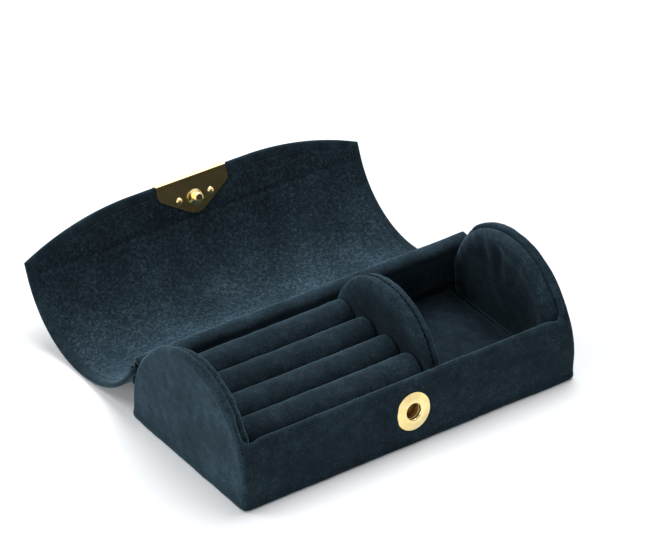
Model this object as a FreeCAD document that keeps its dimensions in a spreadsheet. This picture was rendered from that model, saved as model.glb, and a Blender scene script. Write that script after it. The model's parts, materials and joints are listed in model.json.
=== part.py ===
"""Half-barrel jewellery case, lying open with its lid thrown back.

Millimetres, +Z up. The origin is the centre of the underside; X runs along the case and -Y is
its front. The lid and its front flap are drawn shut, concentric with the base, and their
placements swing them open about the fabric hinge at the back.
"""
import FreeCAD, Part
import math
import os
from types import SimpleNamespace

import Sketcher
from FreeCAD import Placement, Rotation, Vector

os.makedirs("parts", exist_ok=True)
doc = FreeCAD.newDocument("jewellery_case")
sheet = doc.addObject("Spreadsheet::Sheet", "dims")

DIMENSIONS = (
    ("case_length", "150", "length of the base"),
    ("case_depth", "72", "depth of the base, front to back"),
    ("side_height", "9", "height of the straight sides, up to the start of the arch"),
    ("felt_thickness", "0.6", "sheet that the case stands on"),
    ("felt_inset", "2.5", "margin between that sheet and the outline"),
    ("felt_corner", "2", "corner radius of that sheet"),
    ("board_thickness", "2.4", "bottom board"),
    ("panel_thickness", "3", "covered end panels"),
    ("panel_round", "1.6", "rounding of the end panels' outer edges"),
    ("wall_thickness", "2.6", "front and back walls"),
    ("wall_height", "26", "crest of the front and back walls"),
    ("pad_thickness", "3", "padded lining of each end"),
    ("pad_side_gap", "1.3", "gap between a pad's straight side and the wall"),
    ("pad_drop", "1.4", "pad's top below the arch"),
    ("pad_round", "2", "rounding of a pad's crowned face"),
    ("pad_tuck", "0.8", "how a pad's sides draw in towards the panel"),
    ("divider_drop", "0.9", "divider's top below the arch"),
    ("divider_side_gap", "0.7", "gap between the divider and what closes the socket"),
    ("divider_thickness", "3.2", "each of the divider's two layers"),
    ("divider_round", "1", "rounding of the divider's edges"),
    ("ring_bay_length", "80", "compartment that holds the ring rolls"),
    ("bed_thickness", "3", "board under the ring rolls"),
    ("bay_gap", "0.3", "play between the compartments' floors and the walls"),
    ("roll_count", "4", "ring rolls side by side"),
    ("roll_margin", "5.9", "gap between the outer ring rolls and the walls"),
    ("roll_slot", "0.6", "slot between two ring rolls"),
    ("roll_taper", "1.7", "how much a ring roll narrows towards its bed"),
    ("roll_height", "22", "height of a ring roll above its bed"),
    ("roll_gap", "0.4", "play at each end of a ring roll"),
    ("roll_round", "1.5", "rounding of a ring roll's ends"),
    ("floor_thickness", "2", "soft floor of the open compartment"),
    ("floor_round", "0.8", "rounding of that floor's upper edge"),
    ("hinge_height", "25.2", "height of the hinge axis"),
    ("hinge_stand", "1.3", "hinge axis outside the back wall's face"),
    ("hinge_bead", "1.45", "radius of the rolled fabric at the hinge"),
    ("hinge_play", "0.3", "gap between that roll and the lid's tape"),
    ("tape_width", "8", "fabric between the hinge axis and the lid's board"),
    ("tape_thickness", "1", "that fabric, doubled"),
    ("lid_gap", "1.2", "lid's clearance over the arch when shut"),
    ("lid_lift", "0.2", "open lid's clearance above the table"),
    ("lid_overhang", "2", "lid beyond each end of the base"),
    ("cover_thickness", "0.5", "outer cloth of the lid"),
    ("stiffener_thickness", "1.1", "board inside the lid"),
    ("lining_thickness", "0.5", "inner cloth of the lid"),
    ("hem_width", "4", "outer cloth turned in over the lid's edges"),
    ("crease_height", "22", "height of the flap's crease when shut"),
    ("crease_gap", "0.4", "open seam at the crease"),
    ("flap_length", "16", "crease to the free edge, at the middle"),
    ("flap_bow", "10.4", "how far the free edge draws back at the corners"),
    ("flap_straight", "52.8", "straight stretch in the middle of the free edge"),
    ("plate_width", "32", "clasp plate, along the edge"),
    ("plate_depth", "14.6", "clasp plate, from the edge to its tip"),
    ("plate_side", "5.8", "straight sides of the clasp plate"),
    ("plate_tip", "7", "radius of the clasp plate's tip"),
    ("plate_shoulder", "3", "radius of the clasp plate's shoulders"),
    ("plate_thickness", "0.4", "sheet metal of the clasp plate"),
    ("plate_fold", "0.8", "outer radius of the fold over the edge"),
    ("stud_setback", "7.4", "crease to the stud's axis"),
    ("stud_flange", "6.4", "diameter of the stud's flange"),
    ("stud_flange_height", "0.5", "height of the stud's flange"),
    ("stud_neck", "3", "diameter of the stud's neck"),
    ("stud_neck_height", "0.8", "height of the stud's neck"),
    ("stud_bulb", "4.2", "diameter of the stud's bulb"),
    ("stud_bulb_round", "0.9", "rounding of the stud's bulb"),
    ("stud_bulb_height", "1.9", "height of the stud's bulb"),
    ("stud_shank", "1.8", "diameter of the stud's shank through the flap"),
    ("rivet_spacing", "14.4", "between the two rivets"),
    ("rivet_setback", "7.9", "crease to the rivets"),
    ("rivet_head", "2.6", "diameter of a rivet's head"),
    ("rivet_rise", "0.6", "height of a rivet's domed head"),
    ("rivet_shank", "1", "diameter of a rivet's shank"),
    ("ring_diameter", "15", "flange of the socket"),
    ("ring_crown", "9", "diameter of the flange's flat crown"),
    ("ring_edge", "0.5", "thickness of the flange's edge"),
    ("ring_mouth", "6.3", "hole that takes the stud"),
    ("ring_seat", "0.8", "flange's seat below the wall's face"),
    ("ring_proud", "0.25", "flange above the wall's face"),
    ("ring_lip", "0.6", "rolled lip of the mouth"),
    ("collar_diameter", "9.4", "collar through the wall"),
    ("collar_wall", "0.9", "sheet of the collar"),
    ("collar_end", "0.7", "collar beyond the wall's inner face"),
    ("spring_wire", "0.5", "wire that grips the stud"),
    ("spring_depth", "1.9", "spring below the wall's face"),
    ("cup_diameter", "12", "plate that closes the socket"),
    ("cup_thickness", "0.7", "thickness of that plate"),
    ("cup_round", "0.3", "rounding of that plate's rim"),
)


class Size:
    """A length, angle or ratio that carries both its sheet formula and its present value."""

    def __init__(self, formula, value):
        self.formula = formula
        self.value = value

    def joined(self, sign, other, value):
        return Size(f"({self.formula} {sign} {sized(other).formula})", value)

    def __add__(self, other):
        return self.joined("+", other, self.value + sized(other).value)

    def __sub__(self, other):
        return self.joined("-", other, self.value - sized(other).value)

    def __mul__(self, other):
        return self.joined("*", other, self.value * sized(other).value)

    def __truediv__(self, other):
        return self.joined("/", other, self.value / sized(other).value)

    def __neg__(self):
        return self * -1

    def __rsub__(self, other):
        return sized(other) - self


def sized(number):
    return number if isinstance(number, Size) else Size(f"({number})", float(number))


def sine(angle):
    return Size(f"sin({angle.formula})", math.sin(math.radians(angle.value)))


def cosine(angle):
    return Size(f"cos({angle.formula})", math.cos(math.radians(angle.value)))


def arcsine(ratio):
    return Size(f"(asin({ratio.formula}) / 1 deg)", math.degrees(math.asin(ratio.value)))


def arccosine(ratio):
    return Size(f"(acos({ratio.formula}) / 1 deg)", math.degrees(math.acos(ratio.value)))


def arctangent(ratio):
    return Size(f"(atan({ratio.formula}) / 1 deg)", math.degrees(math.atan(ratio.value)))


def root(square):
    return Size(f"sqrt({square.formula})", math.sqrt(square.value))


def arc_angle(length, radius):
    """The angle in degrees that a length spans on a circle."""
    return length / radius * (180 / math.pi)


dim = SimpleNamespace()
for row, (alias, number, note) in enumerate(DIMENSIONS, start=1):
    sheet.set(f"A{row}", alias)
    sheet.set(f"B{row}", number)
    sheet.set(f"C{row}", note)
    sheet.setAlias(f"B{row}", alias)
    setattr(dim, alias, Size(f"dims.{alias}", float(number)))
doc.recompute()

ZERO = sized(0)
FULL_TURN = 360
SAWCUT = 1.0
CLOSE = 1e-3
NOTHING = 1e-6

# Base: a D-shaped section with straight sides and a half-round arch.
arch = dim.case_depth / 2
half_length = dim.case_length / 2
spring_line = dim.side_height
underside = dim.felt_thickness
board_top = underside + dim.board_thickness
arch_top = spring_line + arch
inner_half = half_length - dim.panel_thickness
wall_inner = arch - dim.wall_thickness
wall_middle = arch - dim.wall_thickness / 2
crest_angle = arcsine((dim.wall_height - dim.wall_thickness / 2 - spring_line) / wall_middle)

# Compartments, from left to right.
bay_left = -inner_half + dim.pad_thickness
divider_left = bay_left + dim.ring_bay_length
divider_middle = divider_left + dim.divider_thickness
divider_right = divider_middle + dim.divider_thickness
bay_right = inner_half - dim.pad_thickness
bay_half_depth = wall_inner - dim.bay_gap
bed_top = board_top + dim.bed_thickness
pad_radius = wall_inner - dim.pad_side_gap
divider_radius = wall_inner - dim.collar_end - dim.cup_thickness - dim.divider_side_gap
roll_pitch = ((wall_inner - dim.roll_margin) * 2 + dim.roll_slot) / dim.roll_count
roll_width = roll_pitch - dim.roll_slot

# Hinge axis, and the lid's layers around the arch.
hinge_radius = arch + dim.hinge_stand
hinge_rise = dim.hinge_height - spring_line
hinge_angle = arcsine(hinge_rise / hinge_radius)
hinge_y = hinge_radius * cosine(hinge_angle)
lid_inner = arch + dim.lid_gap
lining_outer = lid_inner + dim.lining_thickness
stiffener_outer = lining_outer + dim.stiffener_thickness
lid_outer = stiffener_outer + dim.cover_thickness
lid_thickness = lid_outer - lid_inner
lid_half = half_length + dim.lid_overhang
lid_rear = hinge_angle + arc_angle(dim.tape_width, hinge_radius)
crease_angle = 180 - arcsine((dim.crease_height - spring_line) / lid_inner)
lid_front = crease_angle - arc_angle(dim.crease_gap / 2, lid_outer)

# The lid falls open until its round back lies on the table.
open_rise = lid_outer + dim.lid_lift - dim.hinge_height
opening = hinge_angle - arcsine(open_rise / hinge_radius) + 180

# The flap's own frame: X along the crease, Y towards the free edge, Z into the case.
flap_turn = crease_angle + 90
crease_y = lid_inner * cosine(crease_angle)
crease_z = spring_line + lid_inner * sine(crease_angle)
edge_round_width = lid_half - dim.flap_straight / 2
edge_radius = (edge_round_width * edge_round_width + dim.flap_bow * dim.flap_bow) / (dim.flap_bow * 2)
plate_back = -lid_thickness - dim.plate_thickness

# The socket's axis meets the stud's axis halfway along the stud.
stud_height = dim.stud_flange_height + dim.stud_neck_height + dim.stud_bulb_height
stud_middle = dim.plate_thickness + stud_height / 2
stud_y = crease_y + dim.stud_setback * cosine(flap_turn) - stud_middle * sine(flap_turn)
stud_z = crease_z + dim.stud_setback * sine(flap_turn) + stud_middle * cosine(flap_turn)
socket_angle = arctangent((stud_z - spring_line) / -stud_y)
collar_radius = dim.collar_diameter / 2
cavity_radius = collar_radius - dim.collar_wall
collar_foot = -dim.wall_thickness - dim.collar_end


def new_body(label):
    body = doc.addObject("PartDesign::Body", label)
    body.Label = label
    return body


def origin_feature(body, role):
    return next(item for item in body.Origin.OriginFeatures if item.Role == role)


def new_sketch(body, role, height=ZERO):
    """A sketch on one of the body's own planes, moved along that plane's normal."""
    sketch = body.newObject("Sketcher::SketchObject", f"{body.Name}_sketch")
    sketch.AttachmentSupport = [(origin_feature(body, role), "")]
    sketch.MapMode = "FlatFace"
    sketch.setExpression("AttachmentOffset.Base.z", height.formula)
    return sketch


def pin(sketch, geometry, position, axis, size):
    """Hold one coordinate of a sketch point at a size."""
    constraint = sketch.addConstraint(
        Sketcher.Constraint(f"Distance{axis}", -1, 1, geometry, position, size.value))
    sketch.setExpression(f"Constraints[{constraint}]", size.formula)


def vector(point):
    return Vector(sized(point[0]).value, sized(point[1]).value, 0)


def line(end):
    return SimpleNamespace(end=end, centre=None, left=True)


def arc(centre, end, left):
    """A round stretch about a centre that turns left or right on its way to its end."""
    return SimpleNamespace(end=end, centre=centre, left=left)


def draw_outline(sketch, start, *steps):
    """Draw a closed outline and pin every corner and every arc's centre to its sizes."""
    joints = []
    here = start
    for step in steps + (line(start),):
        first = vector(here)
        last = vector(step.end)
        if step.centre is None and first.distanceToPoint(last) > NOTHING:
            geometry = sketch.addGeometry(Part.LineSegment(first, last))
            joints.append((geometry, 1, 2, here))
        elif step.centre is not None:
            geometry = draw_arc(sketch, first, last, step)
            joints.append((geometry, 1, 2, here) if step.left else (geometry, 2, 1, here))
        here = step.end
    for index, (geometry, begin, _, corner) in enumerate(joints):
        previous, _, end, _ = joints[index - 1]
        sketch.addConstraint(Sketcher.Constraint("Coincident", previous, end, geometry, begin))
        pin(sketch, geometry, begin, "X", sized(corner[0]))
        pin(sketch, geometry, begin, "Y", sized(corner[1]))


def draw_arc(sketch, first, last, step):
    centre = vector(step.centre)
    circle = Part.Circle(centre, Vector(0, 0, 1), first.distanceToPoint(centre))
    ends = (first, last) if step.left else (last, first)
    angles = [math.atan2(point.y - centre.y, point.x - centre.x) for point in ends]
    geometry = sketch.addGeometry(Part.ArcOfCircle(circle, *angles))
    chord = last - first
    if abs(chord.y) > abs(chord.x):
        pin(sketch, geometry, 3, "X", sized(step.centre[0]))
    else:
        pin(sketch, geometry, 3, "Y", sized(step.centre[1]))
    return geometry


def draw_rectangle(sketch, left, right, low, high):
    draw_outline(sketch, (left, low), line((right, low)), line((right, high)), line((left, high)))


def draw_circle(sketch, x, y, diameter):
    centre = vector((x, y))
    radius = sized(diameter) / 2
    geometry = sketch.addGeometry(Part.Circle(centre, Vector(0, 0, 1), radius.value))
    pin(sketch, geometry, 3, "X", sized(x))
    pin(sketch, geometry, 3, "Y", sized(y))
    constraint = sketch.addConstraint(Sketcher.Constraint("Radius", geometry, radius.value))
    sketch.setExpression(f"Constraints[{constraint}]", radius.formula)


def extrude(body, kind, sketch, length, symmetric=False, backwards=False):
    feature = body.newObject(f"PartDesign::{kind}", f"{body.Name}_{kind.lower()}")
    feature.Profile = sketch
    feature.SideType = "Symmetric" if symmetric else "One side"
    feature.Reversed = backwards
    feature.setExpression("Length", length.formula)
    doc.recompute()
    return feature


def pad(body, sketch, length, symmetric=False):
    extrude(body, "Pad", sketch, length, symmetric)


def pocket(body, sketch, length, symmetric=False, upwards=False):
    """Cut a sketch out of the body, and make sure that the cut met it."""
    before = body.Shape.Volume
    extrude(body, "Pocket", sketch, length, symmetric, upwards)
    if body.Shape.Volume > before - NOTHING:
        raise ValueError(f"a pocket of {body.Label} cuts nothing")


def revolve(body, sketch):
    feature = body.newObject("PartDesign::Revolution", f"{body.Name}_revolution")
    feature.Profile = sketch
    feature.ReferenceAxis = (sketch, ["V_Axis"])
    feature.Angle = FULL_TURN
    doc.recompute()


def round_edges(body, radius, chosen):
    """Round the edges of the body for which the rule holds."""
    base = body.Tip
    edges = base.Shape.Edges
    names = [f"Edge{number}" for number, edge in enumerate(edges, start=1) if chosen(edge)]
    feature = body.newObject("PartDesign::Fillet", f"{body.Name}_fillet")
    feature.Base = (base, names)
    feature.setExpression("Radius", radius.formula)
    doc.recompute()


def lies_at(edge, axis, size):
    """Whether an edge lies in the plane where one coordinate has the given size."""
    box = edge.BoundBox
    low, high = getattr(box, f"{axis}Min"), getattr(box, f"{axis}Max")
    return abs(low - size.value) < CLOSE and abs(high - size.value) < CLOSE


def place(body, y, z, turn, x=ZERO):
    """Set a body down at a point, turned about X."""
    body.Placement = Placement(Vector(0, 0, 0), Rotation(Vector(1, 0, 0), turn.value))
    body.setExpression("Placement.Base.x", x.formula)
    body.setExpression("Placement.Base.y", y.formula)
    body.setExpression("Placement.Base.z", z.formula)
    body.setExpression("Placement.Rotation.Angle", turn.formula)


def polar(radius, angle):
    """A point in the section, about the centre of the arch, from the back upwards."""
    return radius * cosine(angle), spring_line + radius * sine(angle)


def base_felt():
    body = new_body("base_felt")
    sketch = new_sketch(body, "XY_Plane")
    x = half_length - dim.felt_inset
    y = arch - dim.felt_inset
    draw_rectangle(sketch, -x, x, -y, y)
    pad(body, sketch, dim.felt_thickness)
    round_edges(body, dim.felt_corner, lambda edge: edge.BoundBox.ZLength > CLOSE)


def base_board():
    body = new_body("base_board")
    sketch = new_sketch(body, "XY_Plane", underside)
    draw_rectangle(sketch, -inner_half, inner_half, -wall_inner, wall_inner)
    pad(body, sketch, dim.board_thickness)


def wall(label, side):
    """A wall that follows the section up to a rounded crest; side is -1 at the front."""
    body = new_body(label)
    sketch = new_sketch(body, "YZ_Plane")
    centre = (ZERO, spring_line)
    rise = cosine(crest_angle), sine(crest_angle)

    def on_crest(radius):
        return radius * rise[0] * side, spring_line + radius * rise[1]

    draw_outline(
        sketch, (arch * side, underside),
        line((arch * side, spring_line)),
        arc(centre, on_crest(arch), left=side > 0),
        arc(on_crest(wall_middle), on_crest(wall_inner), left=side > 0),
        arc(centre, (wall_inner * side, spring_line), left=side < 0),
        line((wall_inner * side, underside)))
    pad(body, sketch, inner_half * 2, symmetric=True)
    return body


def socket_cut(body, depth, diameter, length):
    """Bore the front wall along the socket's axis, outwards from a given radius."""
    sketch = new_sketch(body, "XZ_Plane", depth * cosine(socket_angle))
    sketch.AttachmentOffset = Placement(Vector(0, 0, 0), Rotation(Vector(1, 0, 0), -socket_angle.value))
    sketch.setExpression("AttachmentOffset.Base.y", (spring_line + depth * sine(socket_angle)).formula)
    sketch.setExpression("AttachmentOffset.Rotation.Angle", (-socket_angle).formula)
    draw_circle(sketch, ZERO, ZERO, diameter)
    pocket(body, sketch, length, upwards=True)


def front_wall():
    body = wall("front_wall", -1)
    socket_cut(body, ZERO, dim.collar_diameter, arch + SAWCUT)
    socket_cut(body, arch - dim.ring_seat, dim.ring_diameter, dim.ring_seat + SAWCUT)


def draw_arched(sketch, radius, top, low):
    """An upright outline with straight sides and a half-round top."""
    shoulder = top - radius
    draw_outline(
        sketch, (-radius, low),
        line((-radius, shoulder)),
        arc((ZERO, shoulder), (radius, shoulder), left=False),
        line((radius, low)))


def arched_panel(label, left, thickness, radius, top, low):
    body = new_body(label)
    sketch = new_sketch(body, "YZ_Plane", left)
    draw_arched(sketch, radius, top, low)
    pad(body, sketch, thickness)
    return body


def end_panel(label, left, outer):
    body = arched_panel(label, left, dim.panel_thickness, arch, arch_top, underside)
    round_edges(body, dim.panel_round,
                lambda edge: lies_at(edge, "X", outer) and not lies_at(edge, "Z", underside))


def end_pad(label, left, face, seat):
    top = arch_top - dim.pad_drop
    body = arched_panel(label, left, dim.pad_thickness, pad_radius, top, board_top)
    for radius, side in ((dim.pad_round, face), (dim.pad_tuck, seat)):
        round_edges(body, radius,
                    lambda edge: lies_at(edge, "X", side) and not lies_at(edge, "Z", board_top))


def divider_panel(label, left):
    right = left + dim.divider_thickness
    top = arch_top - dim.divider_drop
    body = arched_panel(label, left, dim.divider_thickness, divider_radius, top, board_top)
    round_edges(body, dim.divider_round,
                lambda edge: (lies_at(edge, "X", left) or lies_at(edge, "X", right))
                and not lies_at(edge, "Z", board_top))


def ring_bed():
    body = new_body("ring_bed")
    sketch = new_sketch(body, "XY_Plane", board_top)
    draw_rectangle(sketch, bay_left, divider_left, -bay_half_depth, bay_half_depth)
    pad(body, sketch, dim.bed_thickness)


def ring_roll(number):
    """A foam strip in cloth with a round top, drawn in towards the bed it is sewn to."""
    body = new_body(f"ring_roll_{number}")
    left = bay_left + dim.roll_gap
    right = divider_left - dim.roll_gap
    sketch = new_sketch(body, "YZ_Plane", left)
    middle = roll_pitch * (number - 1) - roll_pitch * (dim.roll_count - 1) / 2
    radius = roll_width / 2
    foot = radius - dim.roll_taper / 2
    shoulder = bed_top + dim.roll_height - radius
    draw_outline(
        sketch, (middle - foot, bed_top),
        line((middle - radius, shoulder)),
        arc((middle, shoulder), (middle + radius, shoulder), left=False),
        line((middle + foot, bed_top)))
    pad(body, sketch, right - left)
    round_edges(body, dim.roll_round,
                lambda edge: (lies_at(edge, "X", left) or lies_at(edge, "X", right))
                and not lies_at(edge, "Z", bed_top))


def floor_pad():
    body = new_body("floor_pad")
    sketch = new_sketch(body, "XY_Plane", board_top)
    draw_rectangle(sketch, divider_right, bay_right, -bay_half_depth, bay_half_depth)
    pad(body, sketch, dim.floor_thickness)
    top = board_top + dim.floor_thickness
    round_edges(body, dim.floor_round, lambda edge: lies_at(edge, "Z", top))


def hinge_bead():
    """Cloth rolled round the hinge axis, seated on the back wall's outer face."""
    body = new_body("hinge_bead")
    sketch = new_sketch(body, "YZ_Plane")
    squares = hinge_radius * hinge_radius + arch * arch - dim.hinge_bead * dim.hinge_bead
    spread = arccosine(squares / (hinge_radius * arch * 2))
    low = polar(arch, hinge_angle - spread)
    high = polar(arch, hinge_angle + spread)
    draw_outline(
        sketch, low,
        arc((hinge_y, dim.hinge_height), high, left=True),
        arc((ZERO, spring_line), low, left=False))
    pad(body, sketch, dim.case_length, symmetric=True)


def draw_shell(sketch, inner, outer, rear, front):
    """A slice of the lid's round section between two radii and two angles."""
    centre = (ZERO, spring_line)
    draw_outline(
        sketch, polar(inner, rear),
        line(polar(outer, rear)),
        arc(centre, polar(outer, front), left=True),
        line(polar(inner, front)),
        arc(centre, polar(inner, rear), left=False))


def lid_shell(label, inner, outer, rear, front, half_width):
    body = new_body(label)
    sketch = new_sketch(body, "YZ_Plane")
    draw_shell(sketch, inner, outer, rear, front)
    pad(body, sketch, half_width * 2, symmetric=True)
    return body


def swing_open(body):
    """Turn a lid part, drawn shut, about the hinge axis until it lies open."""
    turn = -opening
    y = hinge_y - (hinge_y * cosine(turn) - dim.hinge_height * sine(turn))
    z = dim.hinge_height - (hinge_y * sine(turn) + dim.hinge_height * cosine(turn))
    place(body, y, z, turn)


def hinge_tape():
    rear = hinge_angle + arc_angle(dim.hinge_bead + dim.hinge_play, hinge_radius)
    inner = hinge_radius - dim.tape_thickness / 2
    swing_open(lid_shell("hinge_tape", inner, inner + dim.tape_thickness, rear, lid_rear, half_length))


def lid_cover():
    """Outer cloth, turned in over the board at both ends to leave a hem on the inside."""
    body = lid_shell("lid_cover", lid_inner, lid_outer, lid_rear, lid_front, lid_half)
    past_rear = lid_rear - SAWCUT
    past_front = lid_front + SAWCUT
    room = new_sketch(body, "YZ_Plane")
    draw_shell(room, lining_outer, stiffener_outer, past_rear, past_front)
    pocket(body, room, (lid_half - dim.cover_thickness) * 2, symmetric=True)
    window = new_sketch(body, "YZ_Plane")
    draw_shell(window, lid_inner - SAWCUT, lining_outer, past_rear, past_front)
    pocket(body, window, (lid_half - dim.hem_width) * 2, symmetric=True)
    swing_open(body)


def lid_board():
    half_width = lid_half - dim.cover_thickness
    swing_open(lid_shell("lid_board", lining_outer, stiffener_outer, lid_rear, lid_front, half_width))


def lid_lining():
    half_width = lid_half - dim.hem_width
    swing_open(lid_shell("lid_lining", lid_inner, lining_outer, lid_rear, lid_front, half_width))


def draw_flap(sketch, inset, start):
    """The flap's outline: a straight crease and a free edge that bows out in the middle."""
    side = lid_half - inset
    edge = dim.flap_length - inset
    straight = dim.flap_straight / 2
    radius = edge_radius - inset
    reach = side - straight
    middle = dim.flap_length - edge_radius
    corner = middle + root(radius * radius - reach * reach)
    draw_outline(
        sketch, (-side, start),
        line((side, start)),
        line((side, corner)),
        arc((straight, middle), (straight, edge), left=True),
        line((-straight, edge)),
        arc((-straight, middle), (-side, corner), left=True))


def draw_shanks(sketch):
    draw_circle(sketch, ZERO, dim.stud_setback, dim.stud_shank)
    for side in (-1, 1):
        draw_circle(sketch, dim.rivet_spacing / 2 * side, dim.rivet_setback, dim.rivet_shank)


def place_on_flap(body, setback=ZERO, x=ZERO):
    """Set a body that is drawn in the flap's frame on the open flap."""
    turn = flap_turn - opening
    y = hinge_y + (crease_y - hinge_y) * cosine(-opening) - (crease_z - dim.hinge_height) * sine(-opening)
    z = dim.hinge_height + (crease_y - hinge_y) * sine(-opening) \
        + (crease_z - dim.hinge_height) * cosine(-opening)
    place(body, y + setback * cosine(turn), z + setback * sine(turn), turn, x)


def flap_layer(label, inset, low, thickness):
    body = new_body(label)
    sketch = new_sketch(body, "XY_Plane", low)
    draw_flap(sketch, inset, dim.crease_gap / 2)
    draw_shanks(sketch)
    pad(body, sketch, thickness)
    return body


def flap_cover():
    body = flap_layer("flap_cover", ZERO, -lid_thickness, lid_thickness)
    start = dim.crease_gap / 2 - SAWCUT
    room = new_sketch(body, "XY_Plane", -dim.lining_thickness - dim.stiffener_thickness)
    draw_flap(room, dim.cover_thickness, start)
    pocket(body, room, dim.stiffener_thickness, upwards=True)
    window = new_sketch(body, "XY_Plane", -dim.lining_thickness)
    draw_flap(window, dim.hem_width, start)
    pocket(body, window, dim.lining_thickness + SAWCUT, upwards=True)
    place_on_flap(body)


def flap_board():
    low = -dim.lining_thickness - dim.stiffener_thickness
    place_on_flap(flap_layer("flap_board", dim.cover_thickness, low, dim.stiffener_thickness))


def flap_lining():
    place_on_flap(flap_layer("flap_lining", dim.hem_width, -dim.lining_thickness, dim.lining_thickness))


def clasp_plate():
    """Sheet metal folded over the free edge: two alike leaves that taper to a round tip."""
    body = new_body("clasp_plate")
    sketch = new_sketch(body, "XY_Plane", plate_back)
    half = dim.plate_width / 2
    fold = dim.flap_length + dim.plate_thickness
    shoulder = dim.flap_length - dim.plate_side
    run = dim.plate_depth - dim.plate_side
    away = run - dim.plate_tip
    reach = root(half * half + away * away)
    lean = arccosine(away / reach) - arcsine(dim.plate_tip / reach)
    point = shoulder - half * cosine(lean) / sine(lean)
    draw_outline(
        sketch, (-half, fold),
        line((-half, shoulder)),
        line((ZERO, point)),
        line((half, shoulder)),
        line((half, fold)))
    draw_shanks(sketch)
    pad(body, sketch, lid_thickness + dim.plate_thickness * 2)

    def upright_at(edge, x, y):
        box = edge.BoundBox
        at_x = abs(abs(box.Center.x) - x.value) < CLOSE
        at_y = abs(box.Center.y - y.value) < CLOSE
        return box.ZLength > 1 and at_x and at_y

    round_edges(body, dim.plate_tip, lambda edge: upright_at(edge, ZERO, point))
    round_edges(body, dim.plate_shoulder, lambda edge: upright_at(edge, half, shoulder))
    slot = new_sketch(body, "XY_Plane", -lid_thickness)
    draw_rectangle(slot, -half - SAWCUT, half + SAWCUT, point - SAWCUT, dim.flap_length)
    pocket(body, slot, lid_thickness, upwards=True)
    round_edges(body, dim.plate_fold,
                lambda edge: lies_at(edge, "Y", fold) and edge.BoundBox.XLength > 1)
    place_on_flap(body)


def clasp_stud():
    body = new_body("clasp_stud")
    sketch = new_sketch(body, "XZ_Plane")
    shank = dim.stud_shank / 2
    flange = dim.stud_flange / 2
    neck = dim.stud_neck / 2
    bulb = dim.stud_bulb / 2
    seat = dim.plate_thickness
    flange_top = seat + dim.stud_flange_height
    neck_top = flange_top + dim.stud_neck_height
    top = neck_top + dim.stud_bulb_height
    crown = bulb - dim.stud_bulb_round
    draw_outline(
        sketch, (ZERO, plate_back),
        line((shank, plate_back)),
        line((shank, seat)),
        line((flange, seat)),
        line((neck, flange_top)),
        line((neck, neck_top)),
        line((bulb, neck_top + (bulb - neck))),
        line((bulb, top - dim.stud_bulb_round)),
        arc((crown, top - dim.stud_bulb_round), (crown, top), left=True),
        line((ZERO, top)))
    revolve(body, sketch)
    place_on_flap(body, dim.stud_setback)


def clasp_rivet(label, side):
    body = new_body(label)
    sketch = new_sketch(body, "XZ_Plane")
    shank = dim.rivet_shank / 2
    head = dim.rivet_head / 2
    seat = dim.plate_thickness
    dome = (head * head + dim.rivet_rise * dim.rivet_rise) / (dim.rivet_rise * 2)
    top = seat + dim.rivet_rise
    draw_outline(
        sketch, (ZERO, plate_back),
        line((shank, plate_back)),
        line((shank, seat)),
        line((head, seat)),
        arc((ZERO, top - dome), (ZERO, top), left=True))
    revolve(body, sketch)
    place_on_flap(body, dim.rivet_setback, dim.rivet_spacing / 2 * side)


def place_on_wall(body):
    """Set a body on the front wall's face, its Z axis along the socket's."""
    y = -arch * cosine(socket_angle)
    z = spring_line + arch * sine(socket_angle)
    place(body, y, z, 90 - socket_angle)


def socket_ring():
    """Flange and collar in one pressing, with a rolled lip round the mouth."""
    body = new_body("socket_ring")
    sketch = new_sketch(body, "XZ_Plane")
    mouth = dim.ring_mouth / 2
    rim = dim.ring_diameter / 2
    lip = mouth + dim.ring_lip
    lip_low = dim.ring_proud - dim.ring_lip
    draw_outline(
        sketch, (mouth, -dim.ring_seat),
        line((mouth, lip_low)),
        arc((lip, lip_low), (lip, dim.ring_proud), left=False),
        line((dim.ring_crown / 2, dim.ring_proud)),
        line((rim, dim.ring_edge - dim.ring_seat)),
        line((rim, -dim.ring_seat)),
        line((collar_radius, -dim.ring_seat)),
        line((collar_radius, collar_foot)),
        line((cavity_radius, collar_foot)),
        line((cavity_radius, -dim.ring_seat)))
    revolve(body, sketch)
    place_on_wall(body)


def socket_spring():
    body = new_body("socket_spring")
    sketch = new_sketch(body, "XZ_Plane")
    draw_circle(sketch, cavity_radius - dim.spring_wire / 2, -dim.spring_depth, dim.spring_wire)
    revolve(body, sketch)
    place_on_wall(body)


def socket_cup():
    body = new_body("socket_cup")
    sketch = new_sketch(body, "XZ_Plane")
    back = collar_foot - dim.cup_thickness
    draw_outline(
        sketch, (ZERO, back),
        line((dim.cup_diameter / 2, back)),
        line((dim.cup_diameter / 2, collar_foot)),
        line((ZERO, collar_foot)))
    revolve(body, sketch)
    round_edges(body, dim.cup_round, lambda edge: lies_at(edge, "Z", back))
    place_on_wall(body)


base_felt()
base_board()
front_wall()
wall("back_wall", 1)
end_panel("left_end_panel", -half_length, -half_length)
end_panel("right_end_panel", inner_half, half_length)
end_pad("left_end_pad", -inner_half, bay_left, -inner_half)
end_pad("right_end_pad", bay_right, bay_right, inner_half)
divider_panel("divider_left_panel", divider_left)
divider_panel("divider_right_panel", divider_middle)
ring_bed()
for roll in range(1, int(dim.roll_count.value) + 1):
    ring_roll(roll)
floor_pad()
hinge_bead()
hinge_tape()
lid_cover()
lid_board()
lid_lining()
flap_cover()
flap_board()
flap_lining()
clasp_plate()
clasp_stud()
clasp_rivet("clasp_rivet_left", -1)
clasp_rivet("clasp_rivet_right", 1)
socket_ring()
socket_spring()
socket_cup()
doc.recompute()

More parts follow.
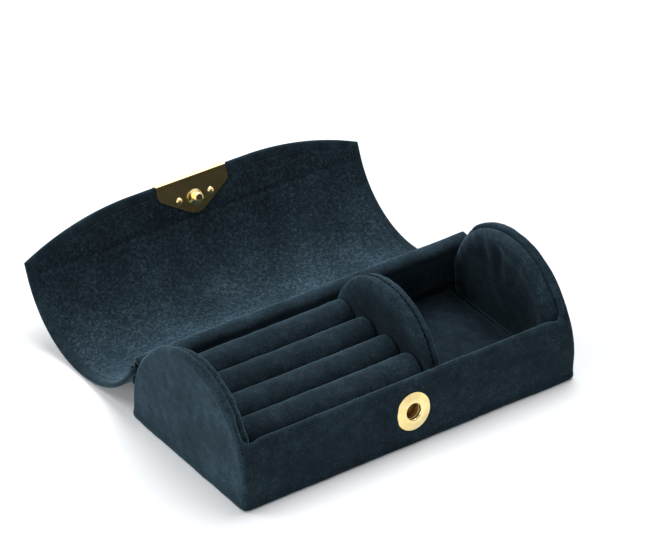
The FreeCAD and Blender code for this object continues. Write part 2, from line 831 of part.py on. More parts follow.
for item in doc.Objects:
    if "Invalid" in item.State or "Error" in item.State:
        raise RuntimeError(f"{item.Label} did not build: {item.State}")
pieces = [item for item in doc.Objects if item.TypeId == "PartDesign::Body"]
for piece in pieces:
    if piece.Shape.isNull() or not piece.Shape.isValid():
        raise RuntimeError(f"{piece.Label} has no valid shape")
for piece in pieces:
    piece.Shape.exportStep(f"parts/{piece.Label}.step")
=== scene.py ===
import bpy
import json
import math
import numpy as np
from mathutils import Matrix, Vector


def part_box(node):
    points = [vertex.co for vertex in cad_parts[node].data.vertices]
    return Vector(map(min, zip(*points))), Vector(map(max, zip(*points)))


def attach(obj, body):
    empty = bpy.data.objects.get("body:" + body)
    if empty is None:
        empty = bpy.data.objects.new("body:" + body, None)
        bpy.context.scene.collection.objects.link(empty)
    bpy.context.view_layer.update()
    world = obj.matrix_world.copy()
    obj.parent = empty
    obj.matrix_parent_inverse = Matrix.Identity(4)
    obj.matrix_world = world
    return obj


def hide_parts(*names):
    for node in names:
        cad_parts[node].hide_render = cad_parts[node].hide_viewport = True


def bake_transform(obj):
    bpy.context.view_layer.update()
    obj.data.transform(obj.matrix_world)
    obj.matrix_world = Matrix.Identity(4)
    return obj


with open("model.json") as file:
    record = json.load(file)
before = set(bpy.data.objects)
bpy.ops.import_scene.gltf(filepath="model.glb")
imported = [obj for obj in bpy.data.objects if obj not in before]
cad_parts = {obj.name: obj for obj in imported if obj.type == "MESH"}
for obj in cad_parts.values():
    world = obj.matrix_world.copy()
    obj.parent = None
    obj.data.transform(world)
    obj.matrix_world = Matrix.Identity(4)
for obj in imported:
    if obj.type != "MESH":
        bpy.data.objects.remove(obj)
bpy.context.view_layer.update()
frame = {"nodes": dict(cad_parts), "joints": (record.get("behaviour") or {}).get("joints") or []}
nodes = frame["nodes"]
joints = {joint["name"]: joint for joint in frame["joints"]}
MM = 0.001

# Sizes of the case in millimetres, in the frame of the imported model.
SPRING = 9.0
LID_INNER = 37.2
LID_THICK = 2.1
LID_HALF = 77.0
LID_REAR = 38.0
CREASE_HEIGHT = 22.0
FLAP_LENGTH = 16.0
FLAP_BOW = 10.4
FLAP_STRAIGHT = 26.4
HEM = 4.0
HINGE = np.array(joints["lid_hinge"]["pos_m"][1:]) / MM
OPENING = math.radians(joints["lid_hinge"]["range_deg"][1])
CREASE_ANGLE = math.pi - math.asin((CREASE_HEIGHT - SPRING) / LID_INNER)
REAR_ANGLE = math.radians(LID_REAR)
CREASE_RUN = LID_INNER * (CREASE_ANGLE - REAR_ANGLE)


# Meshes.

def new_object(name, points, faces):
    """A mesh object from points in millimetres."""
    mesh = bpy.data.meshes.new(name)
    mesh.from_pydata((np.asarray(points, float) * MM).tolist(), [], [list(map(int, f)) for f in faces])
    mesh.validate()
    mesh.update()
    mesh.polygons.foreach_set("use_smooth", [True] * len(mesh.polygons))
    made = bpy.data.objects.new(name, mesh)
    bpy.context.scene.collection.objects.link(made)
    return made


def coordinates(mesh):
    points = np.zeros(len(mesh.vertices) * 3, np.float32)
    mesh.vertices.foreach_get("co", points)
    return points.reshape(-1, 3).astype(float)


def set_coordinates(mesh, points):
    mesh.vertices.foreach_set("co", np.asarray(points, np.float32).ravel())
    mesh.update()


def normals(mesh):
    found = np.zeros(len(mesh.vertices) * 3, np.float32)
    mesh.vertices.foreach_get("normal", found)
    return found.reshape(-1, 3).astype(float)


def edge_ends(mesh):
    ends = np.zeros(len(mesh.edges) * 2, np.int32)
    mesh.edges.foreach_get("vertices", ends)
    return ends.reshape(-1, 2)


WAVE_COUNT = 9
WAVE_PEAK = 1.6


def waves(points, length, seed):
    """Smooth, repeatable unevenness between about -1 and 1 with ripples of about that length."""
    draw = np.random.default_rng(seed)
    total = np.zeros(len(points))
    for _ in range(WAVE_COUNT):
        direction = draw.normal(size=3)
        direction *= 2 * math.pi / (length * draw.uniform(0.7, 1.6) * np.linalg.norm(direction))
        total += np.sin(points @ direction + draw.uniform(0, 2 * math.pi))
    return total / math.sqrt(WAVE_COUNT / 2) / WAVE_PEAK


def ease(value, low, high):
    """A smooth step from 0 at low to 1 at high, where low may be the larger."""
    t = np.clip((value - low) / (high - low), 0, 1)
    return t * t * (3 - 2 * t)


def to_neighbours(points, ends):
    """The way from each point to the mean of its neighbours."""
    count = np.maximum(np.bincount(ends.ravel(), minlength=len(points)), 1).astype(float)
    total = np.zeros_like(points)
    for axis in range(3):
        total[:, axis] += np.bincount(ends[:, 0], points[ends[:, 1], axis], len(points))
        total[:, axis] += np.bincount(ends[:, 1], points[ends[:, 0], axis], len(points))
    return total / count[:, None] - points


RELAX_SHRINK = 0.5
RELAX_GROW = -0.53


def relax(mesh, rounds):
    """Smooth a mesh without shrinking it."""
    points = coordinates(mesh)
    ends = edge_ends(mesh)
    for _ in range(rounds):
        for share in (RELAX_SHRINK, RELAX_GROW):
            points += share * to_neighbours(points, ends)
    set_coordinates(mesh, points)


def bridge(mesh, share, rounds):
    """Round off corners where the cloth spans them, by a share at each vertex."""
    points = coordinates(mesh)
    ends = edge_ends(mesh)
    for _ in range(rounds):
        points += 0.5 * share[:, None] * to_neighbours(points, ends)
    set_coordinates(mesh, points)


def evaluated(made):
    bpy.context.view_layer.update()
    graph = bpy.context.evaluated_depsgraph_get()
    return bpy.data.meshes.new_from_object(made.evaluated_get(graph))


def remeshed(name, sources, voxel, scale=1.0):
    """The union of CAD nodes as one even mesh."""
    points, faces = [], []
    for source in sources:
        mesh = nodes[source].data
        offset = sum(len(p) for p in points)
        points.append(coordinates(mesh))
        faces += [[v + offset for v in polygon.vertices] for polygon in mesh.polygons]
    joined = new_object(name, np.concatenate(points) / MM * scale, faces)
    grid = joined.modifiers.new("remesh", "REMESH")
    grid.mode = "VOXEL"
    grid.voxel_size = voxel * MM * scale
    mesh = evaluated(joined)
    joined.modifiers.clear()
    joined.data = mesh
    mesh.polygons.foreach_set("use_smooth", [True] * len(mesh.polygons))
    return joined


def subdivide(made):
    finer = made.modifiers.new("subdivide", "SUBSURF")
    finer.levels = 1
    finer.render_levels = 1
    mesh = evaluated(made)
    made.modifiers.clear()
    made.data = mesh
    mesh.polygons.foreach_set("use_smooth", [True] * len(mesh.polygons))


# Soft pieces swell under pressure at ten times their size, where the cloth solver is steady.
SIM_SCALE = 10.0
SIM_FRAMES = 20
SIM_PRESSURE = 4.0
NOTHING = 1e-12
CLOTH_SETTINGS = {
    "quality": 6,
    "mass": 0.3,
    "tension_stiffness": 12,
    "compression_stiffness": 12,
    "shear_stiffness": 6,
    "bending_stiffness": 0.4,
}


def swollen(name, source, voxel, cap, held, inset):
    """A padded piece: the CAD node's form, blown up by the cloth solver and capped in millimetres."""
    made = remeshed(name, [source], voxel, SIM_SCALE)
    mesh = made.data
    relax(mesh, 3)
    start = coordinates(mesh) - normals(mesh) * inset * MM * SIM_SCALE
    pinned = held(start / SIM_SCALE / MM)
    set_coordinates(mesh, start)
    group = made.vertex_groups.new(name="held")
    group.add([int(i) for i in np.flatnonzero(pinned)], 1.0, "REPLACE")
    cloth = made.modifiers.new("cloth", "CLOTH")
    settings = cloth.settings
    for key, value in CLOTH_SETTINGS.items():
        setattr(settings, key, value)
    settings.use_pressure = True
    settings.uniform_pressure_force = SIM_PRESSURE
    settings.vertex_group_mass = "held"
    settings.effector_weights.gravity = 0
    cloth.collision_settings.use_collision = False
    cloth.collision_settings.use_self_collision = False
    cloth.point_cache.frame_start = 1
    cloth.point_cache.frame_end = SIM_FRAMES
    scene = bpy.context.scene
    for step in range(1, SIM_FRAMES + 1):
        scene.frame_set(step)
    blown = evaluated(made)
    move = coordinates(blown) - start
    bpy.data.meshes.remove(blown)
    made.modifiers.clear()
    made.vertex_groups.clear()
    scene.frame_set(1)
    length = np.linalg.norm(move, axis=1)
    limit = cap * MM * SIM_SCALE
    move *= (limit * np.tanh(length / limit) / np.maximum(length, NOTHING))[:, None]
    set_coordinates(mesh, start + move)
    relax(mesh, 2)
    set_coordinates(mesh, coordinates(mesh) / SIM_SCALE)
    return made


# Cloth-covered base: walls and end panels under one wrap.
# Cloth and wadding stand a little above the boards.
PANEL_RISE = 0.6
PAD_RISE = 1.0
DIVIDER_RISE = 1.2
CORNER_ROUNDS = 40
FOOT_BULGE = 0.3

base_wrap = remeshed("base_wrap", ["front_wall", "back_wall", "left_end_panel", "right_end_panel"], 0.75)
relax(base_wrap.data, 10)
where = coordinates(base_wrap.data) / MM
corner = ease(np.abs(where[:, 0]), 65, 70) * ease(np.abs(where[:, 0]), 74.2, 72.5)
corner *= ease(np.abs(where[:, 1]), 24, 28) * ease(where[:, 2], 19, 23) * ease(where[:, 2], 38, 32)
bridge(base_wrap.data, corner, CORNER_ROUNDS)
where = coordinates(base_wrap.data)
bulge = 0.10 + 0.09 * waves(where / MM, 16, 3) + 0.04 * waves(where / MM, 5, 4)
bulge += FOOT_BULGE * ease(where[:, 2] / MM, 4, 1)
where += normals(base_wrap.data) * (bulge * MM)[:, None]
where[:, 2] += PANEL_RISE * MM * ease(where[:, 2] / MM, 30, 44)
set_coordinates(base_wrap.data, where)
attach(base_wrap, "base")
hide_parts("front_wall", "back_wall", "left_end_panel", "right_end_panel")


def lowest(points):
    """The points that stand on a piece's underside."""
    return points[:, 2] < points[:, 2].min() + 0.6


def left_within(depth):
    """Picks the points within a depth of a piece's left side."""
    return lambda points: points[:, 0] < points[:, 0].min() + depth


def right_within(depth):
    """Picks the points within a depth of a piece's right side."""
    return lambda points: points[:, 0] > points[:, 0].max() - depth


left_pad = swollen("left_pad", "left_end_pad", voxel=1.0, cap=0.7, held=left_within(0.7), inset=0.2)
right_pad = swollen("right_pad", "right_end_pad", voxel=1.0, cap=0.9, held=right_within(0.7), inset=0.2)
divider_left = swollen("divider_left", "divider_left_panel", voxel=0.9, cap=0.5,
                       held=right_within(0.5), inset=0.15)
divider_right = swollen("divider_right", "divider_right_panel", voxel=0.9, cap=0.5,
                        held=left_within(0.5), inset=0.15)
floor_soft = swollen("floor_soft", "floor_pad", voxel=1.1, cap=0.5, held=lowest, inset=0.2)
rolls = [swollen(f"roll_{i}", f"ring_roll_{i}", voxel=1.0, cap=0.45, held=lowest, inset=0.2)
         for i in range(1, 5)]

# Each pad's face stands out, with a fuller lip along its arch.
PAD_CENTRE = 11.5
PAD_FULL = 0.5
LIP_PUSH = 0.9
LIP_RADIUS = 28.5
LIP_WIDTH = 3.8
for pad, inward, full in ((left_pad, 1, 0.9), (right_pad, -1, 1.4)):
    where = coordinates(pad.data) / MM
    spread = np.hypot(where[:, 1], where[:, 2] - PAD_CENTRE)
    upper = ease(where[:, 2], 10, 20)
    raised = ease(where[:, 0] * inward, -71.6, -69.6)
    lip = raised * ease(spread, 24, 31) * upper
    where[:, 1] += LIP_PUSH * lip * where[:, 1] / spread
    where[:, 2] += LIP_PUSH * lip * (where[:, 2] - PAD_CENTRE) / spread
    ridge = full * np.exp(-((spread - LIP_RADIUS) / LIP_WIDTH) ** 2) * upper
    where[:, 0] += inward * raised * (PAD_FULL + ridge)
    where[:, 2] += PAD_RISE * ease(where[:, 2], 26, 40)
    set_coordinates(pad.data, where * MM)

# Creases in the right pad: place, slant and depth.
PAD_CREASES = ((12.0, 0.20, 0.7), (3.0, 0.0, 0.9), (-8.0, -0.2, 0.5))
CREASE_MIDDLE = 34
CREASE_WIDTH = 2.4
where = coordinates(right_pad.data) / MM
for crease, slant, deep in PAD_CREASES:
    across = where[:, 1] - crease - slant * (where[:, 2] - CREASE_MIDDLE)
    fold = np.exp(-(across / CREASE_WIDTH) ** 2) * ease(where[:, 2], 20, 33) * ease(where[:, 2], 43, 38)
    where[:, 0] += deep * fold * ease(where[:, 0], 71.5, 69.5)
set_coordinates(right_pad.data, where * MM)


def divider_lift(height):
    """How far the divider's cloth stands above its solid at a height."""
    return DIVIDER_RISE * ease(height, 26, 40)


for layer in (divider_left, divider_right):
    where = coordinates(layer.data) / MM
    where[:, 2] += divider_lift(where[:, 2])
    set_coordinates(layer.data, where * MM)

# Each padded piece with the solid it stands for and its fill.
padded = {
    left_pad: ("left_end_pad", 0.8),
    right_pad: ("right_end_pad", 0.8),
    divider_left: ("divider_left_panel", 0.9),
    divider_right: ("divider_right_panel", 0.9),
    floor_soft: ("floor_pad", 0.5),
    **{roll: (f"ring_roll_{i}", 0.9) for i, roll in enumerate(rolls, start=1)},
}
for seed, (soft, (source, fill)) in enumerate(padded.items(), start=20):
    where = coordinates(soft.data)
    uneven = 0.10 * waves(where / MM, 11, seed) + 0.04 * waves(where / MM, 4, seed + 40)
    set_coordinates(soft.data, where + normals(soft.data) * (uneven * MM)[:, None])
    subdivide(soft)
    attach(soft, "base")
    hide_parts(source)


# The lid and its flap, drawn shut and swung open.

def polar(radius, angle):
    return np.stack([radius * np.cos(angle), SPRING + radius * np.sin(angle)], axis=-1)


def swing(section):
    """Points of the shut section (y, z), turned open about the hinge."""
    c, s = math.cos(-OPENING), math.sin(-OPENING)
    away = section - HINGE
    return np.stack([HINGE[0] + away[..., 0] * c - away[..., 1] * s,
                     HINGE[1] + away[..., 0] * s + away[..., 1] * c], axis=-1)


def lid_points(x, run, depth):
    """Points of the open lid: run from its rear edge and depth from its inner face outwards."""
    on_arc = polar(LID_INNER + depth, REAR_ANGLE + np.minimum(run, CREASE_RUN) / LID_INNER)
    flap_turn = CREASE_ANGLE + math.pi / 2
    past = np.maximum(run - CREASE_RUN, 0)
    section = on_arc + np.stack([past * math.cos(flap_turn), past * math.sin(flap_turn)], axis=-1)
    opened = swing(section)
    return np.stack([x, opened[..., 0], opened[..., 1]], axis=-1)


def flap_reach(x):
    """Length of the flap at a place along it."""
    width = LID_HALF - FLAP_STRAIGHT
    radius = (width * width + FLAP_BOW * FLAP_BOW) / (2 * FLAP_BOW)
    out = np.maximum(np.abs(x) - FLAP_STRAIGHT, 0)
    return FLAP_LENGTH - radius + np.sqrt(radius * radius - out * out)


def spaced(low, high, step):
    return np.linspace(low, high, max(2, int(round((high - low) / step)) + 1))


def lid_grid(side, rear, front, edge_steps, step):
    """A grid over the lid up to a side, rear and front margin, with fine rows along its rim."""
    rim = np.array(edge_steps)
    half = LID_HALF - side
    inner = half - rim[-1]
    xs = np.concatenate([-half + rim[:-1], spaced(-inner, inner, step), (half - rim[:-1])[::-1]])
    near = np.array([-1.6, -1.0, -0.5, -0.2])
    arc = np.concatenate([rear + rim[:-1], spaced(rear + rim[-1], CREASE_RUN - 2.4, step), CREASE_RUN + near])
    share = np.linspace(0, 1, 11)
    tip = flap_reach(np.minimum(np.abs(xs), LID_HALF)) - front
    past = 0.2
    runs = []
    for t in tip:
        flap = CREASE_RUN + past + share[:-1] * (t - rim[-1] - past)
        runs.append(np.concatenate([arc, flap, CREASE_RUN + t - rim[::-1]]))
    runs = np.array(runs)
    x = np.repeat(xs[:, None], runs.shape[1], axis=1)
    slope = np.gradient(tip, xs)
    to_front = (CREASE_RUN + tip[:, None] - runs) / np.sqrt(1 + slope[:, None] ** 2)
    edge = np.minimum.reduce([half - np.abs(x), runs - rear, to_front])
    return x, runs, np.maximum(edge, 0)


PLATE_HALF = 16.0
PLATE_STRAIGHT = 5.8
PLATE_TAPER = 6.4
PLATE_START = 0.6


def plate_pressure(x, run):
    """1 under the clasp plate, 0 away from it."""
    along = run - CREASE_RUN
    tapered = PLATE_HALF * (along - PLATE_START) / (FLAP_LENGTH - PLATE_TAPER)
    half = np.where(along > FLAP_LENGTH - PLATE_STRAIGHT, PLATE_HALF, tapered)
    return 1 - ease(np.abs(x) - np.maximum(half, 0), -0.3, 1.2)


def closed_plate(name, x, run, inner, outer):
    """Two grids that share their rim, as one closed mesh."""
    rows, columns = x.shape
    top = lid_points(x, run, inner).reshape(-1, 3)
    bottom = lid_points(x, run, outer).reshape(-1, 3)
    index = np.arange(rows * columns).reshape(rows, columns)
    rim = np.zeros((rows, columns), bool)
    rim[0] = rim[-1] = True
    rim[:, 0] = rim[:, -1] = True
    below = index.copy()
    below[~rim] = rows * columns + np.arange((~rim).sum())
    points = np.concatenate([top, bottom[(~rim).ravel()]])
    faces = []
    for r in range(rows - 1):
        for c in range(columns - 1):
            faces.append((index[r, c], index[r, c + 1], index[r + 1, c + 1], index[r + 1, c]))
            faces.append((below[r, c], below[r + 1, c], below[r + 1, c + 1], below[r, c + 1]))
    return new_object(name, points, faces)


# The lid's cloth runs on past the board's rear edge, towards the hinge.
LID_REACH = -5.0
LID_STEP = 1.3
HEM_STEP = 0.42
RIM = (0, 0.03, 0.12, 0.28, 0.5, 0.78, 1.05, 1.5, 2.1, 2.8, 3.4, 3.75, 3.95, 4.15, 4.6)
x, run, edge = lid_grid(0, LID_REACH, 0, RIM, LID_STEP)
half_thick = LID_THICK / 2
roundness = half_thick * np.sqrt(1 - (1 - np.minimum(edge / half_thick, 1)) ** 2)
flat = np.stack([x, run, 0 * x], axis=-1).reshape(-1, 3)
cloth = (0.05 * waves(flat, 9, 60)).reshape(x.shape)
pressed = plate_pressure(x, run)
inner = half_thick - roundness + cloth * ease(edge, 0.4, 1.2)
inner += HEM_STEP * ease(edge, 3.6, 4.1) * (run > 5)
inner = np.where(pressed > 0, np.maximum(inner, 0.03 * pressed), inner)
outer = half_thick + roundness + 0.06 * waves(flat, 14, 61).reshape(x.shape) * ease(edge, 0.4, 1.2)
outer = np.where(pressed > 0, outer - 0.08 * pressed, outer)
lid_cloth = closed_plate("lid_cloth", x, run, inner, outer)

LINING_RIM = (0, 0.02, 0.08, 0.18, 0.32, 0.5, 0.75, 1.1, 1.6, 2.4)
LINING_LAP = 0.2
LINING_BACK = 0.44
LEAST_DEPTH = 0.03
x, run, edge = lid_grid(HEM - LINING_LAP, LINING_LAP, HEM - LINING_LAP, LINING_RIM, LID_STEP)
flat = np.stack([x, run, 0 * x], axis=-1).reshape(-1, 3)
lift = 0.50 * np.sqrt(1 - (1 - np.minimum(edge / 0.35, 1)) ** 2)
valley = 0.35 * np.exp(-((run - CREASE_RUN) / 1.1) ** 2)
uneven = (0.07 * waves(flat, 13, 62) + 0.03 * waves(flat, 4, 63)).reshape(x.shape)
uneven -= 0.14 * np.exp(-((edge - 4.2) / 0.7) ** 2) * (run < CREASE_RUN)
pressed = plate_pressure(x, run)
inner = 0.4 - lift + (valley + uneven) * ease(edge, 0.3, 1.0)
inner = inner + (np.maximum(inner, LEAST_DEPTH) - inner) * pressed


def middle_bright(x):
    """Painted light across the lid: brightest near the middle."""
    return 0.55 + 0.45 * np.cos(np.clip((x + 8) / 70, -1, 1) * math.pi / 2)


# Painted light on the lining: lighter towards the hinge and near the middle, in broad uneven patches.
lid_light = ease(run, 62, 26) * middle_bright(x)
lid_light = lid_light * (1 + 0.22 * waves(flat, 30, 64).reshape(x.shape))
lid_lining = closed_plate("lid_lining_cloth", x, run, inner, np.full(x.shape, LINING_BACK))

hidden = len(lid_lining.data.vertices) - lid_light.size
lining_light = 0.85 + np.concatenate([lid_light.ravel(), np.zeros(hidden)])

for piece in (lid_cloth, lid_lining):
    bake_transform(piece)
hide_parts("lid_cover", "flap_cover")
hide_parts("lid_lining", "flap_lining")


# The fabric hinge: a roll of cloth on the axis, with the linings and the cover that run into it.

def smooth_path(points, count):
    """An even path along a smooth curve through the points."""
    points = np.asarray(points, float)
    padded_points = np.concatenate([[2 * points[0] - points[1]], points, [2 * points[-1] - points[-2]]])
    fine = []
    for i in range(len(points) - 1):
        a, b, c, d = padded_points[i:i + 4]
        t = np.linspace(0, 1, 24, endpoint=False)[:, None]
        fine.append(0.5 * (2 * b + (c - a) * t + (2 * a - 5 * b + 4 * c - d) * t ** 2
                           + (3 * b - a - 3 * c + d) * t ** 3))
    fine = np.concatenate(fine + [points[-1:]])
    along = np.concatenate([[0], np.cumsum(np.linalg.norm(np.diff(fine, axis=0), axis=1))])
    at = np.linspace(0, along[-1], count)
    return np.stack([np.interp(at, along, fine[:, k]) for k in range(2)], axis=-1), along[-1]


def strip(name, path, count, thick, half, seed, ripple):
    """A band of cloth of some thickness that follows a section path along the case."""
    line, length = smooth_path(path, count)
    tangent = np.gradient(line, axis=0)
    tangent /= np.linalg.norm(tangent, axis=1)[:, None]
    normal = np.stack([tangent[:, 1], -tangent[:, 0]], axis=-1)
    taper = np.sqrt(np.maximum(1 - np.abs(np.linspace(-1, 1, count)) ** 14, 0))
    ring = np.concatenate([line, (line - normal * (thick * taper)[:, None])[1:-1][::-1]])
    outward = np.concatenate([normal, -normal[1:-1][::-1]])
    margin = np.array([0, 0.1, 0.35, 0.8])
    xs = np.concatenate([margin - half, spaced(1.5 - half, half - 1.5, 1.5), half - margin[::-1]])
    points = []
    for x in xs:
        along = np.stack([np.full(len(ring), x), ring[:, 0], ring[:, 1]], axis=-1)
        wave = ripple * waves(along * np.array([1, 0.4, 0.4]), 12, seed)
        points.append(np.concatenate([along[:, :1], ring + outward * wave[:, None]], axis=1))
    points = np.concatenate(points)
    loop = len(ring)
    faces = []
    for row in range(len(xs) - 1):
        for k in range(loop):
            a, b = row * loop + k, row * loop + (k + 1) % loop
            faces.append((a, b, b + loop, a + loop))
    for row in (0, len(xs) - 1):
        for k in range(count - 2):
            low, high = k + 1, loop - 1 - k
            first, last = row * loop + k, row * loop + (loop - k) % loop
            quad = (first, row * loop + low, row * loop + high, last)
            quad = tuple(dict.fromkeys(quad))
            faces.append(quad if row else quad[::-1])
        tip = (row * loop + count - 2, row * loop + count - 1, row * loop + count)
        faces.append(tip if row else tip[::-1])
    return new_object(name, points, faces), length


def turned(radius, degrees):
    """A point of the shut lid's section, swung open with it."""
    return swing(polar(np.array(radius), np.radians(np.array(degrees, float))))


def around(centre, radius, degrees):
    """A point of a section at a distance and angle from a centre."""
    angle = math.radians(degrees)
    return centre + radius * np.array([math.cos(angle), math.sin(angle)])


def roll_of_cloth(name, half, radius, sides, seed):
    """A round roll on the hinge axis, closed at its ends."""
    end = np.array([0, 0.05, 0.2, 0.45, 0.8])
    xs = np.concatenate([end - half, spaced(1.6 - half, half - 1.6, 1.6), half - end[::-1]])
    turn = np.linspace(0, 2 * math.pi, sides, endpoint=False)
    points = []
    for x in xs:
        past = max(1 - (half - abs(x)), 0)
        line = np.stack([np.full(sides, x), np.cos(turn), np.sin(turn)], axis=-1)
        wide = radius * math.sqrt(max(1 - past * past, 0.02))
        wide = wide + 0.10 * waves(line * np.array([1, 3, 3]), 12, seed) * (past == 0)
        y = HINGE[0] + wide * line[:, 1]
        z = HINGE[1] + wide * line[:, 2]
        points.append(np.stack([line[:, 0], y, z], axis=-1))
    faces = []
    for row in range(len(xs) - 1):
        for k in range(sides):
            a, b = row * sides + k, row * sides + (k + 1) % sides
            faces.append((a, b, b + sides, a + sides))
    faces.append(list(range(sides))[::-1])
    faces.append([(len(xs) - 1) * sides + k for k in range(sides)])
    return new_object(name, np.concatenate(points), faces)


# Sections (y, z) of the three bands: over the back wall, from the hinge to the lid, and down the back.
ROLL_RADIUS = 1.6
ROLL_SIDES = 28
BASE_BAND = 74.7
LID_BAND = 75.6
BAND_THICK = 0.45
back_path = [
    polar(np.array(33.0), math.radians(-4.0)),
    polar(np.array(32.95), math.radians(8.0)),
    polar(np.array(32.95), math.radians(17.0)),
    (29.62, 23.4),
    (29.42, 24.8),
    (29.95, 25.85),
    (31.1, 26.5),
    (32.5, 26.85),
    (33.8, 26.9),
    around(HINGE, 1.75, 45),
]
lid_path = [
    turned(36.85, 30.6),
    turned(36.85, 32.5),
    turned(36.9, 34.5),
    turned(37.0, 38.0),
    turned(37.05, 42.0),
    turned(37.1, 45.5),
    turned(37.45, 48.0),
]
fold_path = [
    around(HINGE, 1.5, -40),
    HINGE + np.array([0.95, -2.0]),
    polar(np.array(36.5), math.radians(18.5)),
    polar(np.array(36.35), math.radians(14.0)),
    polar(np.array(36.2), math.radians(8.0)),
]
hinge_roll = roll_of_cloth("hinge_roll", BASE_BAND, ROLL_RADIUS, ROLL_SIDES, seed=72)
back_lining, back_width = strip("back_lining", back_path, 56, BAND_THICK, BASE_BAND, seed=70, ripple=0.10)
hinge_lining, lining_width = strip("hinge_lining", lid_path, 32, BAND_THICK, LID_BAND, seed=73, ripple=0.05)
hinge_cover, cover_width = strip("hinge_cover", fold_path, 28, BAND_THICK, BASE_BAND, seed=71, ripple=0.04)
bodies = {hinge_roll: "base", back_lining: "base", hinge_cover: "base", hinge_lining: "lid"}
for piece, body in bodies.items():
    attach(piece, body)
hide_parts("hinge_bead")
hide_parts("hinge_tape")

# The cloth under the base.
FELT_HALF = 0.3
FELT_STEP = 3
low, high = (np.array(corner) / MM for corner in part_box("base_felt"))
rim = np.array((0, 0.05, 0.15, 0.3))
xs = np.concatenate([low[0] + rim, spaced(low[0] + 1, high[0] - 1, FELT_STEP), (high[0] - rim)[::-1]])
ys = np.concatenate([low[1] + rim, spaced(low[1] + 1, high[1] - 1, FELT_STEP), (high[1] - rim)[::-1]])
gx, gy = np.meshgrid(xs, ys, indexing="ij")
edge = np.minimum.reduce([gx - low[0], high[0] - gx, gy - low[1], high[1] - gy])
lift = FELT_HALF * np.sqrt(1 - (1 - np.minimum(edge / FELT_HALF, 1)) ** 2)
index = np.arange(gx.size).reshape(gx.shape)
upper = np.stack([gx, gy, FELT_HALF + lift], axis=-1).reshape(-1, 3)
lower = np.stack([gx, gy, FELT_HALF - lift], axis=-1).reshape(-1, 3)
border = edge <= NOTHING
below = index.copy()
below[~border] = gx.size + np.arange((~border).sum())
faces = []
for r in range(len(xs) - 1):
    for c in range(len(ys) - 1):
        faces.append((index[r, c], index[r + 1, c], index[r + 1, c + 1], index[r, c + 1]))
        faces.append((below[r, c], below[r, c + 1], below[r + 1, c + 1], below[r + 1, c]))
base_cloth = new_object("base_cloth", np.concatenate([upper, lower[(~border).ravel()]]), faces)
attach(base_cloth, "base")
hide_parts("base_felt")

# Stitches that join the divider's two layers over its arch.
DIVIDER_X = 14.2
DIVIDER_TOP = 44.1
DIVIDER_RADIUS = 31.3
STITCH_INSET = 0.55
STITCH_HALF = 0.85
STITCH_THICK = 0.2
STITCH_END = 0.01
STITCH_DIP = 0.25
STITCH_SLANT = 0.32
STITCH_STEP = 4.6
SIDES = 8
RINGS = 9
stitch_points = []
stitch_faces = []
for angle in np.radians(np.arange(24, 157, STITCH_STEP)):
    reach = DIVIDER_RADIUS - STITCH_INSET
    centre = np.array([DIVIDER_X, reach * math.cos(angle),
                       DIVIDER_TOP - DIVIDER_RADIUS + reach * math.sin(angle)])
    centre[2] += divider_lift(centre[2])
    out = np.array([0, math.cos(angle), math.sin(angle)])
    tang = np.array([0, -math.sin(angle), math.cos(angle)])
    lay = tang * 0.95 + np.array([STITCH_SLANT, 0, 0])
    lay /= np.linalg.norm(lay)
    side = np.cross(lay, out)
    offset = sum(len(p) for p in stitch_points)
    rings = []
    for t in np.linspace(-1, 1, RINGS):
        thick = STITCH_THICK * math.sqrt(max(1 - abs(t) ** 6, 0)) + STITCH_END
        middle = centre + lay * (STITCH_HALF * t) - out * (STITCH_DIP * t * t)
        turn = np.linspace(0, 2 * math.pi, SIDES, endpoint=False)
        rings.append(middle + thick * (np.cos(turn)[:, None] * side + np.sin(turn)[:, None] * out))
    stitch_points.append(np.concatenate(rings))
    for r in range(RINGS - 1):
        for k in range(SIDES):
            a, b = offset + r * SIDES + k, offset + r * SIDES + (k + 1) % SIDES
            stitch_faces.append((a, b, b + SIDES, a + SIDES))
    stitch_faces.append([offset + k for k in range(SIDES)][::-1])
    stitch_faces.append([offset + (RINGS - 1) * SIDES + k for k in range(SIDES)])
stitches = new_object("divider_stitches", np.concatenate(stitch_points), stitch_faces)
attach(stitches, "base")


# Materials.

def material(name):
    made = bpy.data.materials.new(name)
    made.use_nodes = True
    tree = made.node_tree
    shader = next(n for n in tree.nodes if n.type == "BSDF_PRINCIPLED")
    return made, tree, shader


def node(tree, kind, **values):
    made = tree.nodes.new(kind)
    for key, value in values.items():
        if key in made.inputs:
            made.inputs[key].default_value = value
        else:
            setattr(made, key, value)
    return made


def noise_of(tree, place, scale, detail, rough):
    made = node(tree, "ShaderNodeTexNoise")
    made.inputs["Scale"].default_value = scale
    made.inputs["Detail"].default_value = detail
    made.inputs["Roughness"].default_value = rough
    tree.links.new(place, made.inputs["Vector"])
    return made.outputs["Fac"]


def math_of(tree, operation, a, b):
    made = node(tree, "ShaderNodeMath", operation=operation)
    for socket, value in zip(made.inputs, (a, b)):
        if isinstance(value, (int, float)):
            socket.default_value = value
        else:
            tree.links.new(value, socket)
    return made.outputs[0]


def ramp_of(tree, value, stops):
    made = node(tree, "ShaderNodeValToRGB")
    elements = made.color_ramp.elements
    while len(elements) < len(stops):
        elements.new(0.5)
    for element, (position, colour) in zip(elements, stops):
        element.position = position
        element.color = (*colour, 1)
    tree.links.new(value, made.inputs["Fac"])
    return made.outputs["Color"]


# The weights of a velvet's patches, tufts and grain add up to this, so its middle colour stays put.
NOISE_SUM = 1.26
PATCH_SCALE = 60
GRAIN_SCALE = 1700


